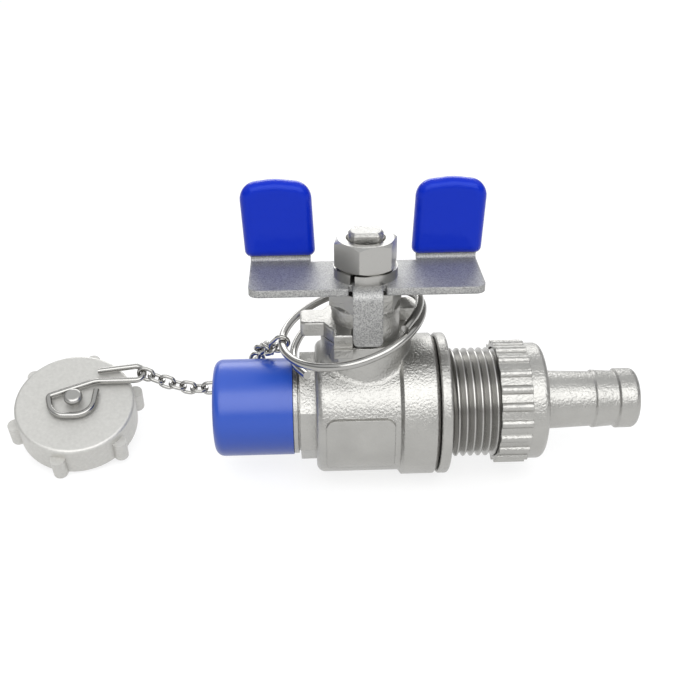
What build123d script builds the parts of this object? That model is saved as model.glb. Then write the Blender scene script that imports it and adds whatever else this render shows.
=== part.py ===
# Small two-piece stainless ball valve with a butterfly handle, a hose tail on a union nut,
# a push-on inlet protector and a chained dust cap.
# Millimetres, +X along the flow from the inlet end face, +Z up along the stem.
import os
from math import cos, radians, sin, sqrt

from build123d import *

os.makedirs("parts", exist_ok=True)

# Lengths along the pipe, from the inlet end face
inlet_thread_length = 17.7
collar_width = 1.1
collar_groove = 0.5
octagon_width = 3.7
stem_from_octagon = 12.0
barrel_length = 19.4
shoulder_length = 9.1
joint_gap = 0.3
flange_width = 2.6
thread_relief = 0.8
outlet_thread_length = 15.8

# Radii about the pipe axis
inlet_thread_radius = 10.48
collar_radius = 11.4
collar_groove_radius = 10.8
octagon_flats = 24.2
barrel_radius = 16.0
barrel_edge = 2.0
shoulder_rise = 1.1
shoulder_edge = 0.8
outlet_thread_radius = 13.2
flow_radius = 5.0

# Recessed panel on the front of the barrel
panel_width = 15.8
panel_height = 15.4
panel_drop = 2.4
panel_corner = 2.2
panel_rise = 0.3
panel_root = 3.0
panel_shift = -1.8

# Ball, seats and seals
ball_radius = 9.6
ball_clearance = 0.06
chamber_radius = 10.4
seat_radius = 8.9
seat_reach = 6.2
seat_back = 9.3
boss_radius = 11.6
boss_reach = 8.0
body_seal_width = 0.7

# Neck, stem and gland
neck_radius = 10.5
neck_top = 20.7
neck_fillet = 2.2
stop_top = 24.2
stop_thickness = 3.3
stop_round = 0.5
stop_gap = 0.1
ear_reach = 15.2
ear_width = 7.4
ear_corner = 1.4
far_stop_reach = 14.6
far_stop_width = 6.8
far_stop_bevel = 3.0
lug_block_width = 4.2
lug_block_front = 10.5
lug_block_toe = 12.0
lug_block_bottom = 19.2
lug_block_step = 21.3
gland_core_radius = 7.9
gland_core_top = 26.4
stem_radius = 4.5
stem_clearance = 0.05
stem_collar_radius = 5.6
stem_collar_bottom = 9.6
stem_collar_height = 1.9
thrust_washer_height = 1.0
tang_width = 4.0
tang_length = 8.0
tang_depth = 2.2
tang_clearance = 0.05
packing_radius = 6.5
packing_bottom = 19.6
packing_height = 2.4
gland_bush_height = 2.6
gland_flats = 15.0
gland_nut_height = 4.0
gland_collar_height = 1.8
gland_collar_radius = 8.1

# Handle sheet
sheet = 1.7
plate_top = 34.6
plate_half_width = 26.4
plate_front = 8.5
plate_back = 10.2
plate_corner = 2.4
bend_inner = 0.9
tab_width = 6.7
tab_reach = 10.7
tab_bottom = 21.3
tab_corner = 1.3
relief_width = 0.9
relief_depth = 2.4
wing_width = 14.0
wing_top = 52.6
wing_corner = 3.4
wing_lean = 0.8
stem_thread_radius = 4.0
double_d = 5.8
fit_gap = 0.05
sleeve_wall = 1.3
sleeve_side = 1.2
sleeve_lift = 1.0
sleeve_top_wall = 1.6
sleeve_corner = 4.2
sleeve_edge = 2.0
sleeve_crown = 1.0
sleeve_foot = 1.6

# Stem nut and spring washer
washer_radius = 7.3
washer_height = 2.2
washer_split = 1.1
washer_split_angle = -117.0
nut_flats = 13.0
nut_height = 6.6
nut_turn = -14.0
stem_above_nut = 1.8

# Union nut and hose tail
union_overlap = 5.0
union_length = 11.5
rib_length = 7.3
rib_count = 22
rib_radius = 14.95
rib_root_radius = 14.15
rib_width = 2.2
union_collar_radius = 14.1
union_edge = 1.4
union_shoulder = 2.9
thread_clearance = 0.1
gasket_width = 1.5
tail_flange_width = 2.0
tail_flange_radius = 12.2
tail_root_radius = 7.2
tail_waist_radius = 6.7
tail_first_barb = 18.0
tail_first_radius = 7.1
tail_second_barb = 23.7
tail_second_radius = 7.3
tail_barb_step = 0.5
tail_length = 28.6
tail_end_edge = 1.5

# Inlet protector
protector_wall = 1.1
protector_end = 1.2
protector_edge = 2.2
protector_gap = 0.1

# Split ring round the neck
ring_wire = 1.9
ring_radius = 16.4
ring_center = (-2.25, 0.04, 20.86)
ring_normal = (-0.389, -0.055, 1.0)
ring_pitch = 2.05
ring_spread = 2.5
ring_bulge = 0.95
ring_corners_per_turn = 15
ring_start = -45.0
ring_level_angle = 305.0
ring_end = 590.0

# Chain
link_wire = 0.95
link_inner_length = 2.95
link_inner_width = 2.05
first_link_wire = 0.9
first_link_inner_length = 4.4
first_link_inner_width = 2.3
link_count = 19
link_gap = 0.12
chain_route = [
    (-22.4, 2.4, 14.3),
    (-24.6, 8.0, 12.0),
    (-26.3, 12.7, 6.6),
    (-31.5, 14.8, 0.0),
    (-39.0, 15.2, -3.2),
    (-46.0, 16.0, -3.0),
    (-55.6, 16.9, 0.6),
    (-62.0, 17.2, 3.4),
]

# Dust cap, swivel wire and rivet
cap_radius = 14.8
cap_height = 8.8
cap_roof = 2.2
cap_bore = 13.35
cap_edge = 0.9
cap_normal = (0.055, -0.415, 0.908)
lug_count = 6
lug_turn = 20.0
lug_radius = 17.0
lug_width = 3.6
lug_height = 6.2
cap_gasket_width = 1.4
cap_gasket_bore = 8.0
swivel_wire = 1.5
swivel_lift = 1.15
eye_center = (14.4, 8.4)
eye_radius = 2.2
rivet_radius = 1.3
rivet_head_radius = 2.3
rivet_head_height = 1.3
rivet_foot_radius = 2.4
rivet_foot_height = 0.9

# Places worked out from the lengths
x_collar = inlet_thread_length
x_collar_groove = x_collar + collar_width
x_octagon = x_collar_groove + collar_groove
x_barrel = x_octagon + octagon_width
stem_x = x_barrel + stem_from_octagon
x_shoulder = x_barrel + barrel_length
x_joint = x_shoulder + shoulder_length
x_flange = x_joint + joint_gap
x_relief = x_flange + flange_width
x_thread = x_relief + thread_relief
x_outlet_end = x_thread + outlet_thread_length
x_union = x_outlet_end - union_overlap
x_gasket = x_outlet_end
x_tail = x_gasket + gasket_width
x_union_end = x_union + union_length
x_union_shoulder = x_union_end - union_shoulder
plate_bottom = plate_top - sheet
nut_bottom = plate_top + washer_height
nut_top = nut_bottom + nut_height
stem_top = nut_top + stem_above_nut
stem_collar_top = stem_collar_bottom + stem_collar_height
body_shoulder = stem_collar_top + thrust_washer_height
packing_top = packing_bottom + 2 * packing_height
gland_bush_top = packing_top + gland_bush_height
gland_nut_bottom = gland_core_top + gland_collar_height
sleeve_bottom = plate_top + sleeve_lift
tab_inner = tab_reach - sheet
shoulder_radius = barrel_radius + shoulder_rise

along_pipe = Plane(origin=(0, 0, 0), x_dir=(0, 1, 0), z_dir=(1, 0, 0))
front_view = Plane(origin=(stem_x, 0, 0), x_dir=(1, 0, 0), z_dir=(0, -1, 0))
lengthwise = Plane(origin=(0, 0, 0), x_dir=(1, 0, 0), z_dir=(0, -1, 0))


def level(height):
    """A horizontal plane at this height, centred on the stem."""
    return Plane(origin=(stem_x, 0, height))


def station(x):
    """A plane across the pipe at this distance from the inlet end."""
    return along_pipe.offset(x)


def finish(piece, name):
    piece.part.label = name
    export_step(piece.part, f"parts/{name}.step")


# Valve body: one casting, turned on the pipe axis, with the neck and the stop ears on top
with BuildPart() as valve_body:
    with BuildSketch(lengthwise):
        with BuildLine():
            Polyline(
                (0, 0),
                (0, inlet_thread_radius - 0.8),
                (0.8, inlet_thread_radius),
                (x_collar, inlet_thread_radius),
                (x_collar, collar_radius),
                (x_collar_groove, collar_radius),
                (x_collar_groove, collar_groove_radius),
                (x_octagon, collar_groove_radius),
                (x_barrel + barrel_edge, collar_groove_radius),
                (x_barrel + barrel_edge, barrel_radius),
                (x_joint - shoulder_edge, barrel_radius),
                (x_joint - shoulder_edge, 0),
                (0, 0),
            )
        make_face()
    revolve(axis=Axis.X)
    with BuildSketch(station(x_octagon)):
        RegularPolygon(octagon_flats / 2, 8, major_radius=False, rotation=22.5)
    extrude(amount=octagon_width + barrel_edge)
    with BuildSketch(lengthwise):
        with BuildLine():
            Line((x_barrel, 0), (x_barrel, barrel_radius - barrel_edge))
            RadiusArc(
                (x_barrel, barrel_radius - barrel_edge),
                (x_barrel + barrel_edge, barrel_radius),
                barrel_edge,
            )
            Polyline(
                (x_barrel + barrel_edge, barrel_radius),
                (x_barrel + 2 * barrel_edge, barrel_radius),
                (x_barrel + 2 * barrel_edge, 0),
                (x_barrel, 0),
            )
        make_face()
    revolve(axis=Axis.X)
    with BuildSketch(level(0)):
        Circle(neck_radius)
    extrude(amount=neck_top)
    neck_foot = (
        valve_body.edges()
        .filter_by(lambda e: e.geom_type not in (GeomType.LINE, GeomType.CIRCLE))
        .filter_by(lambda e: e.center().Z > 0)
    )
    fillet(neck_foot, neck_fillet)
    # Thicker shoulder at the outlet side of the barrel
    with BuildSketch(lengthwise):
        with BuildLine():
            Polyline(
                (x_shoulder, boss_radius),
                (x_shoulder, barrel_radius),
                (x_shoulder + shoulder_edge, shoulder_radius),
                (x_joint - shoulder_edge, shoulder_radius),
                (x_joint, shoulder_radius - shoulder_edge),
                (x_joint, boss_radius),
                (x_shoulder, boss_radius),
            )
        make_face()
    revolve(axis=Axis.X)
    # Stop ring with two ears and a stepped lug, cleared over the quarter turn of the handle's tab
    tab_side = tab_width / 2 + stop_gap
    far_stop_end = tab_side + far_stop_width
    with BuildSketch(level(stop_top - stop_thickness)):
        Circle(neck_radius)
        with Locations((-ear_reach + ear_width / 2, 0)):
            RectangleRounded(ear_width, ear_width, ear_corner)
        with BuildLine():
            Polyline(
                (neck_radius / 2, tab_side - stop_gap),
                (far_stop_reach - far_stop_bevel, tab_side - stop_gap),
                (far_stop_reach, tab_side + far_stop_bevel),
                (far_stop_reach, far_stop_end - far_stop_bevel / 2),
                (far_stop_reach - far_stop_bevel / 2, far_stop_end),
                (neck_radius / 2, far_stop_end - far_stop_bevel / 2),
                (neck_radius / 2, tab_side - stop_gap),
            )
        make_face()
        with Locations((-tab_side - lug_block_width / 2, -lug_block_front / 2)):
            Rectangle(lug_block_width, lug_block_front)
    extrude(amount=stop_thickness)
    with BuildSketch(level(lug_block_bottom)):
        with Locations((-tab_side - lug_block_width / 2, -lug_block_toe / 2)):
            Rectangle(lug_block_width, lug_block_toe)
    extrude(amount=lug_block_step - lug_block_bottom)
    sweep_room = 2 * ear_reach
    with BuildSketch(level(neck_top)):
        with Locations((sweep_room / 2 - tab_side, tab_side - sweep_room / 2)):
            Rectangle(sweep_room, sweep_room)
    extrude(amount=stop_top - neck_top + 1, mode=Mode.SUBTRACT)
    cast_rims = valve_body.faces().filter_by(Axis.Z).group_by(Axis.Z)[-1].edges()
    fillet(cast_rims, stop_round)
    with BuildSketch(level(neck_top - 2)):
        Circle(gland_core_radius)
    extrude(amount=gland_core_top - neck_top + 2)
    # Raised panel: its face is upright above the pipe axis and follows the barrel below it
    panel_face = barrel_radius + panel_rise
    with BuildSketch(front_view.offset(chamber_radius + panel_root)):
        with Locations((panel_shift, -panel_drop)):
            RectangleRounded(panel_width, panel_height, panel_corner)
    panel_block = extrude(amount=panel_face, mode=Mode.PRIVATE)
    with BuildSketch(level(0)):
        Rectangle(2 * barrel_length, 2 * panel_face)
    upright = extrude(amount=panel_face, mode=Mode.PRIVATE)
    with BuildSketch(station(x_barrel)):
        Circle(panel_face)
    rounded = extrude(amount=barrel_length, mode=Mode.PRIVATE)
    add(panel_block & (upright + rounded))
    # Flow bore, seat pocket, ball chamber and the socket of the end connector
    with BuildSketch(station(0)):
        Circle(flow_radius)
    extrude(amount=stem_x, mode=Mode.SUBTRACT)
    with BuildSketch(station(stem_x - seat_back)):
        Circle(seat_radius)
    extrude(amount=seat_back, mode=Mode.SUBTRACT)
    with BuildSketch(station(stem_x - seat_reach)):
        Circle(chamber_radius)
    extrude(amount=seat_reach + boss_reach, mode=Mode.SUBTRACT)
    with BuildSketch(station(stem_x + boss_reach - body_seal_width)):
        Circle(boss_radius)
    extrude(amount=x_joint - stem_x - boss_reach + body_seal_width, mode=Mode.SUBTRACT)
    # Stem way: collar pocket, shaft bore and packing chamber
    with BuildSketch(level(0)):
        Circle(stem_collar_radius + stem_clearance)
    extrude(amount=body_shoulder, mode=Mode.SUBTRACT)
    with BuildSketch(level(0)):
        Circle(stem_radius + stem_clearance)
    extrude(amount=gland_core_top, mode=Mode.SUBTRACT)
    with BuildSketch(level(packing_bottom)):
        Circle(packing_radius)
    extrude(amount=gland_core_top - packing_bottom, mode=Mode.SUBTRACT)
finish(valve_body, "valve_body")

# End connector: boss screwed into the body, flange, relief and outlet thread
with BuildPart() as end_connector:
    with BuildSketch(lengthwise):
        with BuildLine():
            Polyline(
                (stem_x + boss_reach, flow_radius),
                (stem_x + boss_reach, boss_radius),
                (x_flange, boss_radius),
                (x_flange, shoulder_radius - shoulder_edge / 2),
                (x_flange + shoulder_edge / 2, shoulder_radius),
                (x_relief - shoulder_edge, shoulder_radius),
                (x_relief, shoulder_radius - shoulder_edge),
                (x_relief, outlet_thread_radius - 1.3),
                (x_thread, outlet_thread_radius - 1.3),
                (x_thread + 0.6, outlet_thread_radius),
                (x_outlet_end - 1, outlet_thread_radius),
                (x_outlet_end, outlet_thread_radius - 1),
                (x_outlet_end, flow_radius),
                (stem_x + boss_reach, flow_radius),
            )
        make_face()
    revolve(axis=Axis.X)
    with BuildSketch(station(stem_x + boss_reach)):
        Circle(seat_radius)
    extrude(amount=seat_back - boss_reach, mode=Mode.SUBTRACT)
finish(end_connector, "end_connector")

# Body seal: flat ring clamped between the body's step and the connector's boss
with BuildPart() as body_seal:
    with BuildSketch(station(stem_x + boss_reach - body_seal_width)):
        Circle(boss_radius)
        Circle(chamber_radius, mode=Mode.SUBTRACT)
    extrude(amount=body_seal_width)
finish(body_seal, "body_seal")

# Seat rings: cupped to the ball, one on each side
with BuildPart() as seat_inlet:
    with BuildSketch(station(stem_x - seat_back)):
        Circle(seat_radius)
        Circle(flow_radius, mode=Mode.SUBTRACT)
    extrude(amount=seat_back - seat_reach)
    with Locations((stem_x, 0, 0)):
        Sphere(ball_radius + ball_clearance, mode=Mode.SUBTRACT)
finish(seat_inlet, "seat_inlet")

with BuildPart() as seat_outlet:
    add(seat_inlet.part.mirror(station(stem_x)))
finish(seat_outlet, "seat_outlet")

# Ball: bored through, with a slot on top for the stem's tang
tang_bottom = stem_collar_bottom - tang_depth
with BuildPart() as ball:
    with Locations((stem_x, 0, 0)):
        Sphere(ball_radius)
    with BuildSketch(station(stem_x - ball_radius)):
        Circle(flow_radius)
    extrude(amount=2 * ball_radius, mode=Mode.SUBTRACT)
    with BuildSketch(level(tang_bottom - tang_clearance)):
        Rectangle(2 * ball_radius, tang_width + 2 * tang_clearance)
    extrude(amount=ball_radius, mode=Mode.SUBTRACT)
finish(ball, "ball")

# Stem: tang, retaining collar, shaft, double-D and threaded top
with BuildPart() as stem:
    with BuildSketch(level(tang_bottom)):
        Circle(tang_length / 2)
        Rectangle(tang_length, tang_width, mode=Mode.INTERSECT)
    extrude(amount=tang_depth)
    with BuildSketch(level(stem_collar_bottom)):
        Circle(stem_collar_radius)
    extrude(amount=stem_collar_height)
    with BuildSketch(level(stem_collar_top)):
        Circle(stem_radius)
    extrude(amount=plate_bottom - stem_collar_top)
    with BuildSketch(level(plate_bottom)):
        Circle(stem_thread_radius)
        Rectangle(2 * stem_thread_radius, double_d, mode=Mode.INTERSECT)
    extrude(amount=stem_top - plate_bottom)
    chamfer(stem.faces().sort_by(Axis.Z)[-1].edges(), 0.6)
finish(stem, "stem")

# Thrust washer under the body's inner shoulder, and the two packing rings above it
with BuildPart() as thrust_washer:
    with BuildSketch(level(stem_collar_top)):
        Circle(stem_collar_radius)
        Circle(stem_radius + stem_clearance, mode=Mode.SUBTRACT)
    extrude(amount=thrust_washer_height)
finish(thrust_washer, "thrust_washer")

for ring_index, packing_name in enumerate(("stem_packing_lower", "stem_packing_upper")):
    with BuildPart() as packing:
        with BuildSketch(level(packing_bottom + ring_index * packing_height)):
            Circle(packing_radius)
            Circle(stem_radius + stem_clearance, mode=Mode.SUBTRACT)
        extrude(amount=packing_height)
    finish(packing, packing_name)

# Gland bush: presses the packing down under the gland nut
with BuildPart() as gland_bush:
    with BuildSketch(level(packing_top)):
        Circle(packing_radius)
        Circle(stem_radius + stem_clearance, mode=Mode.SUBTRACT)
    extrude(amount=gland_bush_height)
finish(gland_bush, "gland_bush")

# Gland nut: round collar on the neck, hexagon above it
with BuildPart() as gland_nut:
    with BuildSketch(level(gland_core_top)):
        Circle(gland_collar_radius)
    extrude(amount=gland_collar_height)
    chamfer(gland_nut.faces().sort_by(Axis.Z)[-1].edges(), 0.5)
    with BuildSketch(level(gland_nut_bottom - 0.5)):
        RegularPolygon(gland_flats / 2, 6, major_radius=False, rotation=12)
    extrude(amount=gland_nut_height + 0.5)
    with BuildSketch(level(gland_core_top)):
        Circle(packing_radius)
    extrude(amount=gland_bush_top - gland_core_top, mode=Mode.SUBTRACT)
    with BuildSketch(level(gland_core_top)):
        Circle(stem_radius + stem_clearance)
    extrude(amount=gland_nut_height + gland_collar_height, mode=Mode.SUBTRACT)
finish(gland_nut, "gland_nut")


def wing_points(grow_side, bottom, top):
    """Corners of a right-hand wing seen from the front, leaning outwards, in the stem's frame."""
    lean = wing_lean / (wing_top - plate_top)
    inner = plate_half_width - wing_width - grow_side
    outer = plate_half_width + grow_side
    low_lean = lean * (bottom - plate_top)
    top_lean = lean * (top - plate_top)
    return [(inner + low_lean, bottom), (inner + top_lean, top), (outer + top_lean, top), (outer + low_lean, bottom)]


# Handle: one sheet with a stop tab bent down in front and two wings bent up at the back
bend_outer = bend_inner + sheet
wing_foot = plate_top + bend_inner
side_view = Plane(origin=(stem_x, 0, 0), x_dir=(0, 1, 0), z_dir=(1, 0, 0))
with BuildPart() as handle:
    with BuildSketch(level(plate_bottom)):
        with Locations((0, (plate_back - bend_outer - plate_front) / 2)):
            Rectangle(2 * plate_half_width, plate_back - bend_outer + plate_front)
    extrude(amount=sheet)
    front_corners = handle.edges().filter_by(Axis.Z).group_by(Axis.Y)[0]
    fillet(front_corners, plate_corner)
    for turn in (-1, 1):
        with BuildSketch(level(plate_bottom)):
            with Locations((turn * (tab_width + relief_width) / 2, -plate_front)):
                Rectangle(relief_width, 2 * relief_depth)
        extrude(amount=sheet, mode=Mode.SUBTRACT)
    with BuildSketch(side_view.offset(-tab_width / 2)):
        with BuildLine():
            Line((-plate_front + relief_depth, plate_top), (-tab_reach + bend_outer, plate_top))
            RadiusArc(
                (-tab_reach + bend_outer, plate_top), (-tab_reach, plate_top - bend_outer), -bend_outer
            )
            Polyline(
                (-tab_reach, plate_top - bend_outer),
                (-tab_reach, tab_bottom),
                (-tab_inner, tab_bottom),
                (-tab_inner, plate_top - bend_outer),
            )
            RadiusArc(
                (-tab_inner, plate_top - bend_outer), (-tab_reach + bend_outer, plate_bottom), bend_inner
            )
            Polyline(
                (-tab_reach + bend_outer, plate_bottom),
                (-plate_front + relief_depth, plate_bottom),
                (-plate_front + relief_depth, plate_top),
            )
        make_face()
    extrude(amount=tab_width)
    tab_corners = handle.edges().filter_by(Axis.Y).group_by(Axis.Z)[0]
    fillet(tab_corners, tab_corner)
    for turn in (-1, 1):
        wing_left = turn * (plate_half_width - wing_width / 2) - wing_width / 2
        with BuildSketch(side_view.offset(wing_left)):
            with BuildLine():
                Line((plate_back - bend_outer, plate_bottom), (plate_back - bend_outer, plate_top))
                RadiusArc(
                    (plate_back - bend_outer, plate_top), (plate_back - sheet, wing_foot), -bend_inner
                )
                Line((plate_back - sheet, wing_foot), (plate_back, wing_foot))
                RadiusArc(
                    (plate_back, wing_foot), (plate_back - bend_outer, plate_bottom), bend_outer
                )
            make_face()
        extrude(amount=wing_width)
    wing_corners = wing_points(0, wing_foot, wing_top)
    with BuildSketch(Plane(origin=(stem_x, plate_back, 0), x_dir=(1, 0, 0), z_dir=(0, -1, 0))):
        with BuildLine():
            FilletPolyline(*wing_corners, radius=wing_corner)
            Line(wing_corners[-1], wing_corners[0])
        make_face()
        mirror(about=Plane.YZ)
    extrude(amount=sheet)
    with BuildSketch(level(plate_bottom)):
        Circle(stem_thread_radius + fit_gap)
        Rectangle(4 * stem_thread_radius, double_d + 2 * fit_gap, mode=Mode.INTERSECT)
    extrude(amount=sheet, mode=Mode.SUBTRACT)
finish(handle, "handle")

# Vinyl sleeves: thick dipped caps with soft edges, hollow for the wing
sleeve_depth = sheet + 2 * sleeve_wall
low_in, top_in, top_out, low_out = wing_points(sleeve_side, sleeve_bottom, wing_top + sleeve_top_wall)
sleeve_peak = ((top_in[0] + top_out[0]) / 2, top_in[1])
top_in = (top_in[0], top_in[1] - sleeve_crown)
top_out = (top_out[0], top_out[1] - sleeve_crown)
cavity_corners = wing_points(fit_gap, sleeve_bottom - 0.5, wing_top + fit_gap)
for turn, sleeve_name in ((-1, "sleeve_left"), (1, "sleeve_right")):
    with BuildPart() as sleeve:
        with BuildSketch(Plane(origin=(0, plate_back + sleeve_wall, 0), x_dir=(1, 0, 0), z_dir=(0, -1, 0))):
            with BuildLine():
                FilletPolyline(
                    low_in,
                    top_in,
                    sleeve_peak,
                    top_out,
                    low_out,
                    close=True,
                    radius=[sleeve_foot, sleeve_corner, wing_width, sleeve_corner, sleeve_foot],
                )
            make_face()
        extrude(amount=sleeve_depth)
        fillet(sleeve.faces().filter_by(Axis.Y).edges(), sleeve_edge)
        with BuildSketch(Plane(origin=(0, plate_back + fit_gap, 0), x_dir=(1, 0, 0), z_dir=(0, -1, 0))):
            with BuildLine():
                FilletPolyline(*cavity_corners, radius=wing_corner)
                Line(cavity_corners[-1], cavity_corners[0])
            make_face()
        extrude(amount=sheet + 2 * fit_gap, mode=Mode.SUBTRACT)
    placed = sleeve.part if turn > 0 else sleeve.part.mirror(Plane.YZ)
    placed = placed.moved(Location((stem_x, 0, 0)))
    placed.label = sleeve_name
    export_step(placed, f"parts/{sleeve_name}.step")

# Spring washer: split ring under the stem nut
with BuildPart() as spring_washer:
    with BuildSketch(level(plate_top)):
        Circle(washer_radius)
        Circle(stem_thread_radius + 0.15, mode=Mode.SUBTRACT)
        with Locations(Rotation(0, 0, washer_split_angle)):
            with Locations((washer_radius, 0)):
                Rectangle(2 * washer_radius, washer_split, mode=Mode.SUBTRACT)
    extrude(amount=washer_height)
finish(spring_washer, "spring_washer")

# Stem nut: hexagon with turned corners above and below
with BuildPart() as stem_nut:
    with BuildSketch(level(nut_bottom)):
        RegularPolygon(nut_flats / 2, 6, major_radius=False, rotation=30 + nut_turn)
    extrude(amount=nut_height)
    corner_radius = nut_flats / sqrt(3)
    with BuildSketch(Plane(origin=(stem_x, 0, nut_bottom), x_dir=(1, 0, 0), z_dir=(0, -1, 0))):
        with BuildLine():
            Polyline(
                (0, 0),
                (nut_flats / 2 - 0.1, 0),
                (corner_radius + 0.1, 0.75),
                (corner_radius + 0.1, nut_height - 0.75),
                (nut_flats / 2 - 0.1, nut_height),
                (0, nut_height),
                (0, 0),
            )
        make_face()
    revolve(axis=Axis((stem_x, 0, 0), (0, 0, 1)), mode=Mode.INTERSECT)
    with BuildSketch(level(nut_bottom)):
        Circle(stem_thread_radius + fit_gap)
    extrude(amount=nut_height, mode=Mode.SUBTRACT)
    chamfer(
        stem_nut.edges().filter_by(GeomType.CIRCLE).filter_by(
            lambda e: abs(e.radius - stem_thread_radius - fit_gap) < 0.01
        ),
        0.5,
    )
finish(stem_nut, "stem_nut")

# Union nut: ribbed grip, plain collar with a round edge, inner shoulder behind the tail's flange
with BuildPart() as union_nut:
    with BuildSketch(station(x_union)):
        Circle(rib_root_radius)
        with PolarLocations(rib_radius - rib_width / 2, rib_count, start_angle=180 / rib_count):
            Circle(rib_width / 2)
    extrude(amount=rib_length)
    with BuildSketch(lengthwise):
        with BuildLine():
            Polyline(
                (x_union + rib_length - 0.5, 0),
                (x_union + rib_length - 0.5, union_collar_radius),
                (x_union_end - union_edge, union_collar_radius),
            )
            RadiusArc(
                (x_union_end - union_edge, union_collar_radius),
                (x_union_end, union_collar_radius - union_edge),
                union_edge,
            )
            Polyline(
                (x_union_end, union_collar_radius - union_edge),
                (x_union_end, 0),
                (x_union + rib_length - 0.5, 0),
            )
        make_face()
    revolve(axis=Axis.X)
    with BuildSketch(station(x_union)):
        Circle(outlet_thread_radius + thread_clearance)
    extrude(amount=x_union_shoulder - x_union, mode=Mode.SUBTRACT)
    with BuildSketch(station(x_union)):
        Circle(tail_root_radius + thread_clearance)
    extrude(amount=union_length, mode=Mode.SUBTRACT)
finish(union_nut, "union_nut")

# Tail gasket: flat ring between the connector's end and the tail's flange
with BuildPart() as tail_gasket:
    with BuildSketch(station(x_gasket)):
        Circle(tail_flange_radius)
        Circle(flow_radius, mode=Mode.SUBTRACT)
    extrude(amount=gasket_width)
finish(tail_gasket, "tail_gasket")

# Hose tail: flange held by the nut, stem with two barbs and a rounded mouth
with BuildPart() as hose_tail:
    with BuildSketch(lengthwise):
        with BuildLine():
            Polyline(
                (x_tail, flow_radius),
                (x_tail, tail_flange_radius),
                (x_tail + tail_flange_width, tail_flange_radius),
                (x_tail + tail_flange_width, tail_root_radius),
                (x_union_end, tail_root_radius),
                (x_tail + tail_first_barb - tail_barb_step, tail_waist_radius),
                (x_tail + tail_first_barb, tail_first_radius),
                (x_tail + tail_second_barb - tail_barb_step, tail_waist_radius),
                (x_tail + tail_second_barb, tail_second_radius),
                (x_tail + tail_length - tail_end_edge, tail_second_radius),
            )
            RadiusArc(
                (x_tail + tail_length - tail_end_edge, tail_second_radius),
                (x_tail + tail_length, tail_second_radius - tail_end_edge),
                tail_end_edge,
            )
            Polyline(
                (x_tail + tail_length, tail_second_radius - tail_end_edge),
                (x_tail + tail_length, flow_radius),
                (x_tail, flow_radius),
            )
        make_face()
    revolve(axis=Axis.X)
finish(hose_tail, "hose_tail")

# Inlet protector: thin plastic cap with a rounded closed end
protector_bore = inlet_thread_radius + protector_gap
protector_radius = protector_bore + protector_wall
with BuildPart() as inlet_cap:
    with BuildSketch(station(-protector_end)):
        Circle(protector_radius)
    extrude(amount=protector_end + inlet_thread_length - protector_gap)
    fillet(inlet_cap.faces().sort_by(Axis.X)[0].edges(), protector_edge)
    with BuildSketch(station(0)):
        Circle(protector_bore)
    extrude(amount=inlet_thread_length, mode=Mode.SUBTRACT)
finish(inlet_cap, "inlet_cap")

# Split ring: two turns of wire, the turns spread where the first link sits between them
ring_axis = Vector(*ring_normal).normalized()
ring_u = (Vector(1, 0, 0) - ring_axis * ring_axis.X).normalized()
ring_v = ring_axis.cross(ring_u)
ring_middle = Vector(stem_x, 0, 0) + Vector(*ring_center)


def ring_point(angle, outset=1.0):
    """Centre of the ring's wire at this angle, counted over both turns."""
    spread = cos(radians((angle - 180) * 0.75)) ** 2 if 60 < angle < 300 else 0
    lift = -ring_pitch * (angle - ring_level_angle) / 360 + ring_spread * spread
    reach = (ring_radius + ring_bulge * spread) * outset
    return (
        ring_middle
        + ring_u * (reach * cos(radians(angle)))
        + ring_v * (reach * sin(radians(angle)))
        + ring_axis * lift
    )


ring_step = 360 / ring_corners_per_turn
ring_corner_total = round((ring_end - ring_start) / ring_step)
ring_outset = 1 / cos(radians(ring_step / 2))
ring_bend = 0.93 * ring_radius
with BuildPart() as split_ring:
    with BuildLine() as ring_path:
        FilletPolyline(
            *[ring_point(ring_start + k * ring_step, ring_outset) for k in range(ring_corner_total + 1)],
            radius=ring_bend,
        )
    with BuildSketch(ring_path.line ^ 0):
        Circle(ring_wire / 2)
    sweep(path=ring_path.line)
finish(split_ring, "split_ring")

# Chain: pivot points stepped along the route, one oval link between each pair
hook_angle = 180.0
hook = ring_point(hook_angle)
hook_run = (ring_point(hook_angle - 1) - ring_point(hook_angle + 1)).normalized()
with BuildLine() as chain_line:
    Spline(hook, *[Vector(stem_x, 0, 0) + Vector(*point) for point in chain_route])
chain_edge = chain_line.edges()[0]


def step_along(start, reach):
    """Place on the route whose straight distance from the place at start is reach."""
    here = chain_edge.position_at(start)
    low, high = start, min(1.0, start + 3 * reach / chain_edge.length)
    for _ in range(40):
        middle = (low + high) / 2
        if (chain_edge.position_at(middle) - here).length < reach:
            low = middle
        else:
            high = middle
    return middle


link_pitch = link_inner_length - link_gap
eye_side = link_inner_length / 2 - swivel_wire / 2 - link_gap
first_span = first_link_inner_length - ring_wire / 2 - 1.5 * link_gap
spans = [first_span] + [link_pitch] * (link_count - 2) + [link_pitch / 2 + eye_side]
places = [0.0]
for span in spans:
    places.append(step_along(places[-1], span))
pivots = [chain_edge.position_at(place) for place in places]

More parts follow.
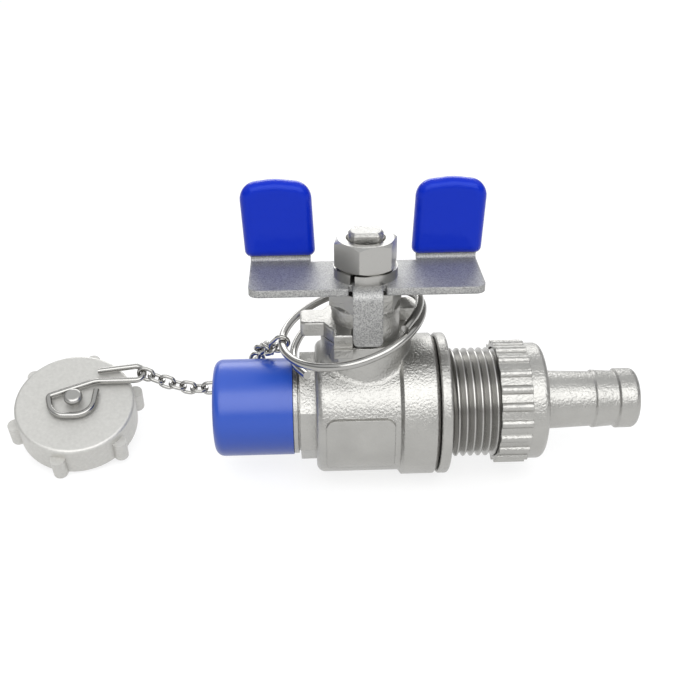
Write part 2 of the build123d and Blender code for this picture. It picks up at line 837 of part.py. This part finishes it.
link_frames = []
for index in range(link_count):
    along = (pivots[index + 1] - pivots[index]).normalized()
    beside = hook_run if index == 0 else Vector(0, 1, 0)
    across = (beside - along * along.dot(beside)).normalized()
    open_side = across if index % 2 == 0 else along.cross(across)
    wire = first_link_wire if index == 0 else link_wire
    inner_length = first_link_inner_length if index == 0 else link_inner_length
    inner_width = first_link_inner_width if index == 0 else link_inner_width
    middle = pivots[index] + along * (link_pitch / 2)
    if index == 0:
        middle = pivots[1] - along * ((inner_length - link_gap) / 2)
    link_frames.append((middle, along, open_side))
    link_plane = Plane(origin=middle, x_dir=along, z_dir=open_side)
    bow = (inner_width + wire) / 2
    half_straight = (inner_length - inner_width) / 2
    with BuildPart() as link:
        with BuildLine(link_plane) as link_path:
            Line((-half_straight, bow), (half_straight, bow))
            ThreePointArc((half_straight, bow), (half_straight + bow, 0), (half_straight, -bow))
            Line((half_straight, -bow), (-half_straight, -bow))
            ThreePointArc((-half_straight, -bow), (-half_straight - bow, 0), (-half_straight, bow))
        with BuildSketch(Plane(origin=link_path.line @ 0, z_dir=link_path.line % 0)):
            Circle(wire / 2)
        sweep(path=link_path.line)
    finish(link, f"chain_link_{index + 1:02d}")

# Dust cap frame: its eye sits on the chain's last pivot, the roof faces up and forwards
cap_axis = Vector(*cap_normal).normalized()
cap_u = (Vector(1, 0, 0) - cap_axis * cap_axis.X).normalized()
cap_v = cap_axis.cross(cap_u)
eye_tip = (eye_center[0] + eye_radius, eye_center[1])
cap_middle = pivots[-1] - cap_u * eye_tip[0] - cap_v * eye_tip[1] - cap_axis * swivel_lift
cap_face = Plane(origin=cap_middle, x_dir=cap_u, z_dir=cap_axis)

# Dust cap: cast cup with six lugs, open below
with BuildPart() as dust_cap:
    with BuildSketch(cap_face.offset(-cap_height)):
        Circle(cap_radius)
    extrude(amount=cap_height)
    with BuildSketch(cap_face.offset(-cap_height)):
        with PolarLocations(0, lug_count, start_angle=lug_turn):
            with Locations((lug_radius - lug_width / 2, 0)):
                Circle(lug_width / 2)
            with Locations(((lug_radius - lug_width / 2 + cap_bore + 0.6) / 2, 0)):
                Rectangle(lug_radius - lug_width / 2 - cap_bore - 0.6, lug_width)
    extrude(amount=lug_height)
    roof_edge = dust_cap.faces().sort_by(Axis(cap_middle, cap_axis))[-1]
    fillet(roof_edge.edges(), cap_edge)
    with BuildSketch(cap_face.offset(-cap_height)):
        Circle(cap_bore)
    extrude(amount=cap_height - cap_roof, mode=Mode.SUBTRACT)
    with BuildSketch(cap_face.offset(-cap_height)):
        Circle(rivet_radius)
    extrude(amount=cap_height, mode=Mode.SUBTRACT)
finish(dust_cap, "dust_cap")

# Dust cap gasket: flat ring against the roof inside
with BuildPart() as cap_gasket:
    with BuildSketch(cap_face.offset(-cap_roof - cap_gasket_width)):
        Circle(cap_bore)
        Circle(cap_gasket_bore, mode=Mode.SUBTRACT)
    extrude(amount=cap_gasket_width)
finish(cap_gasket, "cap_gasket")

# Rivet: shank through the roof, domed head above the wire, set foot inside
with BuildPart() as cap_rivet:
    head_bottom = swivel_lift + swivel_wire / 2 + 0.25
    with BuildSketch(cap_face.offset(-cap_roof)):
        Circle(rivet_radius)
    extrude(amount=cap_roof + head_bottom)
    with BuildSketch(cap_face.offset(head_bottom)):
        Circle(rivet_head_radius)
    extrude(amount=rivet_head_height)
    head_top = cap_rivet.faces().sort_by(Axis(cap_middle, cap_axis))[-1]
    fillet(head_top.edges(), rivet_head_height * 0.8)
    with BuildSketch(cap_face.offset(-cap_roof)):
        Circle(rivet_foot_radius)
    extrude(amount=-rivet_foot_height)
finish(cap_rivet, "cap_rivet")

# Swivel wire: one bent wire, a loop round the rivet and a long eye that holds the chain
with BuildPart() as swivel:
    with BuildLine(cap_face.offset(swivel_lift)) as swivel_path:
        FilletPolyline(
            (5.2, 3.2),
            (4.7, -4.5),
            (-4.9, -4.7),
            (-6.4, 1.0),
            (4.6, 5.8),
            (eye_center[0], eye_center[1] - eye_radius),
            radius=[4.5, 4.1, 0.95, 6.0],
        )
        ThreePointArc(
            (eye_center[0], eye_center[1] - eye_radius),
            eye_tip,
            (eye_center[0], eye_center[1] + eye_radius),
        )
        Line((eye_center[0], eye_center[1] + eye_radius), (5.0, eye_center[1] + eye_radius - 1.6))
    with BuildSketch(Plane(origin=swivel_path.line @ 0, z_dir=swivel_path.line % 0)):
        Circle(swivel_wire / 2)
    sweep(path=swivel_path.line)
finish(swivel, "swivel_wire")
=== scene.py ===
from math import cos, pi, radians, sin

import bmesh
import bpy
from mathutils import Matrix, Vector


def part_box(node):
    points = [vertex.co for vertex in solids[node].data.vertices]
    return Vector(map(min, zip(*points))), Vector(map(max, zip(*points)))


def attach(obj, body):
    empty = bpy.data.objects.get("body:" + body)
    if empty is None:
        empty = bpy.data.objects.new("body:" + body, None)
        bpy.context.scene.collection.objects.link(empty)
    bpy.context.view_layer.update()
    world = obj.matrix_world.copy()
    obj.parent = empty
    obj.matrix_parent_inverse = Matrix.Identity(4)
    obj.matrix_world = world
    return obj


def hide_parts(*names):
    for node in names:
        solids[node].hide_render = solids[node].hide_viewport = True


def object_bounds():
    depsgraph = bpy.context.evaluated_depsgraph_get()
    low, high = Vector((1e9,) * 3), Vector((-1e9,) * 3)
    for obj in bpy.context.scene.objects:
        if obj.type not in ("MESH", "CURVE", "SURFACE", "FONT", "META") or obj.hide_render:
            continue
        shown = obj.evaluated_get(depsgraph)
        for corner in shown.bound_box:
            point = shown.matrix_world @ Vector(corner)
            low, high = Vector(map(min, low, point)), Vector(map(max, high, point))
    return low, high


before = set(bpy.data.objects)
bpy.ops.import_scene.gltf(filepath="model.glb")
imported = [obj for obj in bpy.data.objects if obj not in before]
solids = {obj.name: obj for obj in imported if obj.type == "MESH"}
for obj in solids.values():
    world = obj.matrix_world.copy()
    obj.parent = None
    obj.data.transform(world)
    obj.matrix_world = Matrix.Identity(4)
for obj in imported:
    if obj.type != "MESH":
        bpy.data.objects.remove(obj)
cad_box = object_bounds()
mm = 0.001


# Valve body: one stainless casting with the inlet end, wrench octagon, barrel and neck.
# Investment cast and bead-blasted, so it is pale, evenly dull and finely pitted, with soft edges.
# It is the CAD solid with a groove round the inlet end, from the end bevel to the collar, for the thread.
def linear(hex_colour):
    """An sRGB hex colour as linear red, green, blue and alpha."""
    channels = [int(hex_colour[k:k + 2], 16) / 255 for k in (1, 3, 5)]
    return [c / 12.92 if c <= 0.04045 else ((c + 0.055) / 1.055) ** 2.4 for c in channels] + [1.0]


def add_node(tree, kind, inputs=None, **settings):
    """Adds one shader node, with its settings, and its inputs set to values or linked to sockets."""
    node = tree.nodes.new(kind)
    for key, value in settings.items():
        setattr(node, key, value)
    for key, value in (inputs or {}).items():
        if isinstance(value, bpy.types.NodeSocket):
            tree.links.new(value, node.inputs[key])
        else:
            node.inputs[key].default_value = value
    return node


def new_finish(name):
    """An empty material, and the tree that will shade it."""
    finish = bpy.data.materials.new(name)
    finish.use_nodes = True
    finish.node_tree.nodes.clear()
    return finish, finish.node_tree


def shade(tree, shader):
    """Links a shader to a new output node."""
    add_node(tree, "ShaderNodeOutputMaterial", {"Surface": shader.outputs["BSDF"]})


grit_size = 0.55 * mm
grit_depth = 0.16 * mm
cloud_size = 7 * mm
edge_round = 0.3 * mm
cast_steel, tree = new_finish("bead_blasted_cast_stainless")
place = add_node(tree, "ShaderNodeTexCoord")
grit = add_node(tree, "ShaderNodeTexNoise", {
    "Vector": place.outputs["Object"], "Scale": 1 / grit_size, "Detail": 3.0})
cloud = add_node(tree, "ShaderNodeTexNoise", {
    "Vector": place.outputs["Object"], "Scale": 1 / cloud_size, "Detail": 3.0})
tone = add_node(tree, "ShaderNodeMix", {
    "Factor": cloud.outputs["Fac"], "A": linear("#9f9e9b"), "B": linear("#b6b5b1")}, data_type="RGBA")
dull = add_node(tree, "ShaderNodeMapRange", {"Value": grit.outputs["Fac"], "To Min": 0.26, "To Max": 0.42})
soft = add_node(tree, "ShaderNodeBevel", {"Radius": edge_round}, samples=4)
pits = add_node(tree, "ShaderNodeBump", {
    "Height": grit.outputs["Fac"], "Distance": grit_depth, "Normal": soft.outputs["Normal"]})
shade(tree, add_node(tree, "ShaderNodeBsdfPrincipled", {
    "Base Color": tone.outputs["Result"], "Metallic": 1.0, "Roughness": dull.outputs["Result"],
    "Normal": pits.outputs["Normal"]}))


def lathe(bm, profile, steps):
    """Turns a profile of (x, radius) points once round the pipe axis."""
    corners = [bm.verts.new((x, 0, radius)) for x, radius in profile]
    edges = [bm.edges.new(pair) for pair in zip(corners, corners[1:])]
    bmesh.ops.spin(bm, geom=corners + edges, cent=(0, 0, 0), axis=(1, 0, 0), angle=2 * pi, steps=steps,
                   use_merge=True)


def soften(faces, crease=35.0):
    """Shades faces smooth, with a crease where two meet at more than this many degrees."""
    for face in faces:
        face.smooth = True
        for edge in face.edges:
            edge.smooth = edge.calc_face_angle(0.0) < radians(crease)


def add_piece(bm, name, finish, body):
    """Makes a bmesh into a piece with this finish that rides on a body."""
    mesh = bpy.data.meshes.new(name)
    bm.to_mesh(mesh)
    bm.free()
    piece = bpy.data.objects.new(name, mesh)
    mesh.materials.append(finish)
    bpy.context.scene.collection.objects.link(piece)
    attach(piece, body)
    return piece


def on_inlet_crest(corner):
    """True for a corner on the body's plain inlet cylinder."""
    along = end_bevel - core_lap < corner.co.x < collar_face + core_lap
    return along and abs(corner.co.yz.length - inlet_crest) < core_lap


thread_depth = 1.16 * mm
core_lap = 0.01 * mm
turn_steps = 72
end_bevel = 0.8 * mm
collar_face = 17.7 * mm
inlet_crest = 10.48 * mm
inlet_core = inlet_crest - thread_depth + core_lap
bm = bmesh.new()
bm.from_mesh(solids["valve_body"].data)
bm.transform(solids["valve_body"].matrix_world)
plain_band = [face for face in bm.faces if all(map(on_inlet_crest, face.verts))]
bmesh.ops.delete(bm, geom=plain_band, context="FACES")
cast_faces = set(bm.faces)
lathe(bm, [(collar_face, inlet_crest), (collar_face, inlet_core), (end_bevel, inlet_core),
           (end_bevel, inlet_crest)], turn_steps)
soften(set(bm.faces) - cast_faces)
grooved_body = add_piece(bm, "valve_body_grooved", cast_steel, "valve")
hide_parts("valve_body")


# Inlet thread: a half inch pipe thread on the body's inlet end, under the protector.
# Turned bright. It is wound as a true helix in the body's groove, up to a relief before the collar.
tool_mark = 0.5 * mm
bright_steel, tree = new_finish("turned_stainless")
place = add_node(tree, "ShaderNodeTexCoord")
fine = add_node(tree, "ShaderNodeTexNoise", {
    "Vector": place.outputs["Object"], "Scale": 1 / tool_mark, "Detail": 2.0})
sheen = add_node(tree, "ShaderNodeMapRange", {"Value": fine.outputs["Fac"], "To Min": 0.24, "To Max": 0.36})
shade(tree, add_node(tree, "ShaderNodeBsdfPrincipled", {
    "Base Color": linear("#aaa9a6"), "Metallic": 1.0, "Roughness": sheen.outputs["Result"]}))
seam = 1e-7


def pipe_thread(bm, low, high, crest, depth, pitch, steps):
    """Winds one helical thread between two stations, each end closed by a flat wall."""
    root = crest - depth
    wall_foot = root - 0.1 * mm
    flank = 0.42 * pitch
    spare_turns = 4
    first_root = low - 2 * pitch
    ridge = [(first_root, root), (first_root + flank, crest), (first_root + pitch - flank, crest),
             (first_root + pitch, root)]
    corners = [bm.verts.new((x, 0, radius)) for x, radius in ridge]
    edges = [bm.edges.new(pair) for pair in zip(corners, corners[1:])]
    turns = int((high - low) / pitch) + spare_turns
    bmesh.ops.spin(bm, geom=corners + edges, cent=(0, 0, 0), axis=(1, 0, 0), angle=2 * pi * turns,
                   steps=steps * turns, dvec=(pitch / steps, 0, 0))
    bmesh.ops.remove_doubles(bm, verts=bm.verts, dist=seam)
    for station, outwards in ((low, -1), (high, 1)):
        cut = bmesh.ops.bisect_plane(bm, geom=bm.verts[:] + bm.edges[:] + bm.faces[:],
                                     plane_co=(station, 0, 0), plane_no=(outwards, 0, 0), clear_outer=True)
        rim = [item for item in cut["geom_cut"] if isinstance(item, bmesh.types.BMEdge)]
        wall = bmesh.ops.extrude_edge_only(bm, edges=rim)
        for item in wall["geom"]:
            if isinstance(item, bmesh.types.BMVert):
                shrink = wall_foot / item.co.yz.length
                item.co.y *= shrink
                item.co.z *= shrink


def turned_piece(bm, name, finish, body):
    """Closes the seams of turned shapes and makes them a piece."""
    bmesh.ops.remove_doubles(bm, verts=bm.verts, dist=seam)
    bmesh.ops.recalc_face_normals(bm, faces=bm.faces)
    soften(bm.faces)
    return add_piece(bm, name, finish, body)


pipe_pitch = 1.814 * mm
inlet_relief = 1.7 * mm
bm = bmesh.new()
pipe_thread(bm, end_bevel, collar_face - inlet_relief, inlet_crest, thread_depth, pipe_pitch, turn_steps)
inlet_thread = turned_piece(bm, "inlet_thread", bright_steel, "valve")


# End connector: a stainless casting, screwed into the body up to its flange.
# The outlet thread is turned on it, bright, as a true helix that takes the union nut.
connector_low, connector_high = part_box("end_connector")
bore_radius = 5.0 * mm
boss_radius = 11.6 * mm
flange_low = 51.8 * mm
flange_high = 54.4 * mm
flange_radius = connector_high.y
flange_round = 0.7 * mm
flange_bevel = 0.3 * mm
round_steps = 5
thread_low = 55.0 * mm
thread_high = connector_high.x
outlet_crest = 13.2 * mm
outlet_root = outlet_crest - thread_depth
outlet_core = outlet_root + core_lap
relief_depth = 0.2 * mm
relief_floor = outlet_root - relief_depth
bm = bmesh.new()
pipe_thread(bm, thread_low, thread_high, outlet_crest, thread_depth, pipe_pitch, turn_steps)
outlet_thread = turned_piece(bm, "outlet_thread", bright_steel, "valve")
rounding = [(flange_high - flange_round * (1 - sin(a)), flange_radius - flange_round * (1 - cos(a)))
            for a in (k * pi / 2 / round_steps for k in range(round_steps + 1))]
bm = bmesh.new()
lathe(bm, [(connector_low.x, bore_radius), (connector_low.x, boss_radius), (flange_low, boss_radius),
           (flange_low, flange_radius - flange_bevel), (flange_low + flange_bevel, flange_radius)]
      + rounding
      + [(flange_high, relief_floor), (thread_low - relief_depth, relief_floor), (thread_low, outlet_core),
         (thread_high, outlet_core), (thread_high, bore_radius), (connector_low.x, bore_radius)], turn_steps)
connector = turned_piece(bm, "end_connector_turned", cast_steel, "valve")
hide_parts("end_connector")


# Seals inside the valve: two seat rings, the body seal, the thrust washer and the packing.
# Turned from white sealing plastic, waxy and dull; only seen when the valve is opened up.
def dress(finish, *names):
    """Puts a finish on the solids with these names."""
    for name in names:
        for slot in solids[name].material_slots:
            slot.material = finish


turning_mark = 0.8 * mm
white_seal, tree = new_finish("turned_white_sealing_plastic")
place = add_node(tree, "ShaderNodeTexCoord")
marks = add_node(tree, "ShaderNodeTexNoise", {"Vector": place.outputs["Object"], "Scale": 1 / turning_mark})
waxy = add_node(tree, "ShaderNodeMapRange", {"Value": marks.outputs["Fac"], "To Min": 0.45, "To Max": 0.6})
shade(tree, add_node(tree, "ShaderNodeBsdfPrincipled", {
    "Base Color": linear("#eeeeea"), "Roughness": waxy.outputs["Result"], "IOR": 1.38}))
dress(white_seal, "seat_inlet", "seat_outlet", "body_seal", "thrust_washer", "stem_packing_lower",
      "stem_packing_upper")


# Ball, stem and gland: the ball turns between the seats on the foot of the stem.
# Ball and gland bush are turned bright; stem and gland nut are blasted like the body.
dress(bright_steel, "ball", "gland_bush")
dress(cast_steel, "stem", "gland_nut")


# Handle: one stamped stainless sheet, bent up into two wings and down into the stop tab.
# Tumbled after stamping, so its edges are round and its face is satin with a fine dark speckle.
# The stem nut holds it on the stem over a split spring washer, both bright.
speck_size = 0.3 * mm
speck_depth = 0.03 * mm
satin_sheet, tree = new_finish("tumbled_stainless_sheet")
place = add_node(tree, "ShaderNodeTexCoord")
speck = add_node(tree, "ShaderNodeTexNoise", {
    "Vector": place.outputs["Object"], "Scale": 1 / speck_size, "Detail": 2.0})
dots = add_node(tree, "ShaderNodeMapRange", {
    "Value": speck.outputs["Fac"], "From Min": 0.35, "From Max": 0.65})
tone = add_node(tree, "ShaderNodeMix", {
    "Factor": dots.outputs["Result"], "A": linear("#888888"), "B": linear("#b6b6b4")}, data_type="RGBA")
dull = add_node(tree, "ShaderNodeMapRange", {"Value": speck.outputs["Fac"], "To Min": 0.42, "To Max": 0.62})
soft = add_node(tree, "ShaderNodeBevel", {"Radius": 2 * edge_round}, samples=4)
dent = add_node(tree, "ShaderNodeBump", {
    "Height": speck.outputs["Fac"], "Strength": 0.10, "Distance": speck_depth,
    "Normal": soft.outputs["Normal"]})
shade(tree, add_node(tree, "ShaderNodeBsdfPrincipled", {
    "Base Color": tone.outputs["Result"], "Metallic": 0.75, "Roughness": dull.outputs["Result"],
    "Normal": dent.outputs["Normal"]}))
dress(satin_sheet, "handle")
dress(bright_steel, "stem_nut", "spring_washer")


# Wing sleeves: the handle's wings dipped in deep blue vinyl.
# Thick, soft-edged and glossy, with a faint orange-peel ripple.
ripple_size = 2.5 * mm
ripple_depth = 0.3 * mm
puff_round = 1.8 * mm
blue_vinyl, tree = new_finish("dipped_blue_vinyl")
place = add_node(tree, "ShaderNodeTexCoord")
ripple = add_node(tree, "ShaderNodeTexNoise", {"Vector": place.outputs["Object"], "Scale": 1 / ripple_size})
puff = add_node(tree, "ShaderNodeBevel", {"Radius": puff_round}, samples=8)
peel = add_node(tree, "ShaderNodeBump", {
    "Height": ripple.outputs["Fac"], "Strength": 0.25, "Distance": ripple_depth,
    "Normal": puff.outputs["Normal"]})
shade(tree, add_node(tree, "ShaderNodeBsdfPrincipled", {
    "Base Color": linear("#0828b4"), "Roughness": 0.12, "Specular IOR Level": 0.5,
    "Specular Tint": linear("#90acff"), "Normal": peel.outputs["Normal"]}))
dress(blue_vinyl, "sleeve_left", "sleeve_right")


# Union nut and hose tail: the ribbed nut pulls the tail's flange onto a flat gasket at the outlet.
# Both are cast and blasted like the body; the gasket, like the dust cap's, is cut from black rubber sheet.
dress(cast_steel, "union_nut", "hose_tail")
mottle_size = 0.6 * mm
black_rubber, tree = new_finish("black_sheet_rubber")
place = add_node(tree, "ShaderNodeTexCoord")
mottle = add_node(tree, "ShaderNodeTexNoise", {"Vector": place.outputs["Object"], "Scale": 1 / mottle_size})
dry = add_node(tree, "ShaderNodeMapRange", {"Value": mottle.outputs["Fac"], "To Min": 0.6, "To Max": 0.75})
shade(tree, add_node(tree, "ShaderNodeBsdfPrincipled", {
    "Base Color": linear("#242424"), "Roughness": dry.outputs["Result"], "IOR": 1.5}))
dress(black_rubber, "tail_gasket", "cap_gasket")


# Inlet protector: a push-on cap of moulded blue polyethylene over the inlet thread.
# Thin-walled and satin, so it carries broad soft highlights.
flow_size = 4 * mm
blue_cap, tree = new_finish("moulded_blue_polyethylene")
place = add_node(tree, "ShaderNodeTexCoord")
flow = add_node(tree, "ShaderNodeTexNoise", {"Vector": place.outputs["Object"], "Scale": 1 / flow_size})
satin = add_node(tree, "ShaderNodeMapRange", {"Value": flow.outputs["Fac"], "To Min": 0.28, "To Max": 0.36})
shade(tree, add_node(tree, "ShaderNodeBsdfPrincipled", {
    "Base Color": linear("#1f4cb4"), "Roughness": satin.outputs["Result"], "Specular IOR Level": 0.7}))
dress(blue_cap, "inlet_cap")


# Split ring, chain links and swivel wire: drawn stainless wire, bent and left bright.
# Smooth and shiny, with faint draw marks.
draw_mark = 0.4 * mm
bright_wire, tree = new_finish("drawn_stainless_wire")
place = add_node(tree, "ShaderNodeTexCoord")
drawn = add_node(tree, "ShaderNodeTexNoise", {"Vector": place.outputs["Object"], "Scale": 1 / draw_mark})
slick = add_node(tree, "ShaderNodeMapRange", {"Value": drawn.outputs["Fac"], "To Min": 0.12, "To Max": 0.22})
shade(tree, add_node(tree, "ShaderNodeBsdfPrincipled", {
    "Base Color": linear("#a5a4a1"), "Metallic": 1.0, "Roughness": slick.outputs["Result"]}))
chain_links = sorted(name for name in solids if name.startswith("chain_link"))
dress(bright_wire, "split_ring", "swivel_wire", *chain_links)


# Dust cap: a light grey casting with six lugs, hung on the chain by its swivel wire and a bright rivet.
# Tumbled, so it is satin, slightly warm and faintly sandy.
sand_size = 0.8 * mm
sand_depth = 0.08 * mm
grey_casting, tree = new_finish("tumbled_grey_casting")
place = add_node(tree, "ShaderNodeTexCoord")
grain = add_node(tree, "ShaderNodeTexNoise", {
    "Vector": place.outputs["Object"], "Scale": 1 / sand_size, "Detail": 3.0})
sand = add_node(tree, "ShaderNodeBump", {
    "Height": grain.outputs["Fac"], "Strength": 0.6, "Distance": sand_depth})
tone = add_node(tree, "ShaderNodeMix", {
    "Factor": grain.outputs["Fac"], "A": linear("#bebdb9"), "B": linear("#d4d3cf")}, data_type="RGBA")
shade(tree, add_node(tree, "ShaderNodeBsdfPrincipled", {
    "Base Color": tone.outputs["Result"], "Metallic": 0.8, "Roughness": 0.5,
    "Normal": sand.outputs["Normal"]}))
dress(grey_casting, "dust_cap")
dress(bright_steel, "cap_rivet")


# Floor: a wide table, lifted to white where it is looked at, straight or in a reflection.
# It is grey to the light itself, so it keeps a soft shadow and throws little light back up.
floor_size = 20.0
floor_gap = 0.2 * mm
white_lift = 0.74
bm = bmesh.new()
bmesh.ops.create_grid(bm, x_segments=1, y_segments=1, size=floor_size,
                      matrix=Matrix.Translation((0, 0, cad_box[0].z - floor_gap)))
floor_mesh = bpy.data.meshes.new("floor")
bm.to_mesh(floor_mesh)
bm.free()
floor = bpy.data.objects.new("floor", floor_mesh)
bpy.context.scene.collection.objects.link(floor)
white_table, tree = new_finish("white_table")
rays = add_node(tree, "ShaderNodeLightPath")
direct = add_node(tree, "ShaderNodeMath", {
    0: rays.outputs["Is Camera Ray"], 1: rays.outputs["Is Glossy Ray"]}, operation="MAXIMUM")
seen = add_node(tree, "ShaderNodeMath", {
    0: direct.outputs["Value"], 1: rays.outputs["Is Transmission Ray"]}, operation="MAXIMUM")
lift = add_node(tree, "ShaderNodeMath", {0: seen.outputs["Value"], 1: white_lift}, operation="MULTIPLY")
shade(tree, add_node(tree, "ShaderNodeBsdfPrincipled", {
    "Base Color": linear("#959595"), "Roughness": 0.9, "Specular IOR Level": 0.0,
    "Emission Color": linear("#ffffff"), "Emission Strength": lift.outputs["Value"]}))
floor_mesh.materials.append(white_table)


# Room and lamps: white at the table's edge, grey at eye level and pale above, so the steel has bands.
# A wide soft box stands above the camera and a lower one behind the object.
room = bpy.data.worlds.new("room")
bpy.context.scene.world = room
room.use_nodes = True
tree = room.node_tree
tree.nodes.clear()
place = add_node(tree, "ShaderNodeTexCoord")
height = add_node(tree, "ShaderNodeSeparateXYZ", {"Vector": place.outputs["Generated"]})
rise = add_node(tree, "ShaderNodeMapRange", {
    "Value": height.outputs["Z"], "From Min": 0.15, "From Max": 0.7})
wall = add_node(tree, "ShaderNodeMix", {
    "Factor": rise.outputs["Result"], "A": linear("#4c4e51"), "B": linear("#f4f5f6")}, data_type="RGBA")
edge = add_node(tree, "ShaderNodeMapRange", {
    "Value": height.outputs["Z"], "From Min": 0.05, "From Max": 0.2})
tint = add_node(tree, "ShaderNodeMix", {
    "Factor": edge.outputs["Result"], "A": linear("#ffffff"), "B": wall.outputs["Result"]}, data_type="RGBA")
glow = add_node(tree, "ShaderNodeBackground", {"Color": tint.outputs["Result"]})
add_node(tree, "ShaderNodeOutputWorld", {"Surface": glow.outputs["Background"]})


def soft_box(name, place, aim, width, height, power):
    """A soft light that faces a point."""
    lamp = bpy.data.lights.new(name, "AREA")
    lamp.shape = "RECTANGLE"
    lamp.size = width
    lamp.size_y = height
    lamp.energy = power
    holder = bpy.data.objects.new(name, lamp)
    holder.location = place
    holder.rotation_euler = (Vector(aim) - Vector(place)).to_track_quat("-Z", "Y").to_euler()
    bpy.context.scene.collection.objects.link(holder)


middle = (30 * mm, 0, 10 * mm)
soft_box("key_light", place=(0.08, -0.45, 0.44), aim=middle, width=0.95, height=0.58, power=3.7)
soft_box("back_light", place=(0.03, 0.62, 0.33), aim=middle, width=0.60, height=0.30, power=1.8)


# Camera: the photograph's place and lens, found from the outlines of the turned pieces.
# It looks down on the front of the valve, square to the pipe but for two degrees.
eye = Vector((22.49, -208.85, 125.91)) * mm
target = Vector((31.38, 0.0, 15.0)) * mm
roll = radians(-0.18)
camera_data = bpy.data.cameras.new("camera")
camera_data.lens = 51.45
camera_data.sensor_width = 36.0
camera_data.clip_start = 0.01
camera = bpy.data.objects.new("camera", camera_data)
looking = (target - eye).to_track_quat("-Z", "Y").to_matrix().to_4x4()
camera.matrix_world = Matrix.Translation(eye) @ looking @ Matrix.Rotation(roll, 4, "Z")
bpy.context.scene.collection.objects.link(camera)
bpy.context.scene.camera = camera
bpy.context.scene.view_settings.view_transform = "Standard"
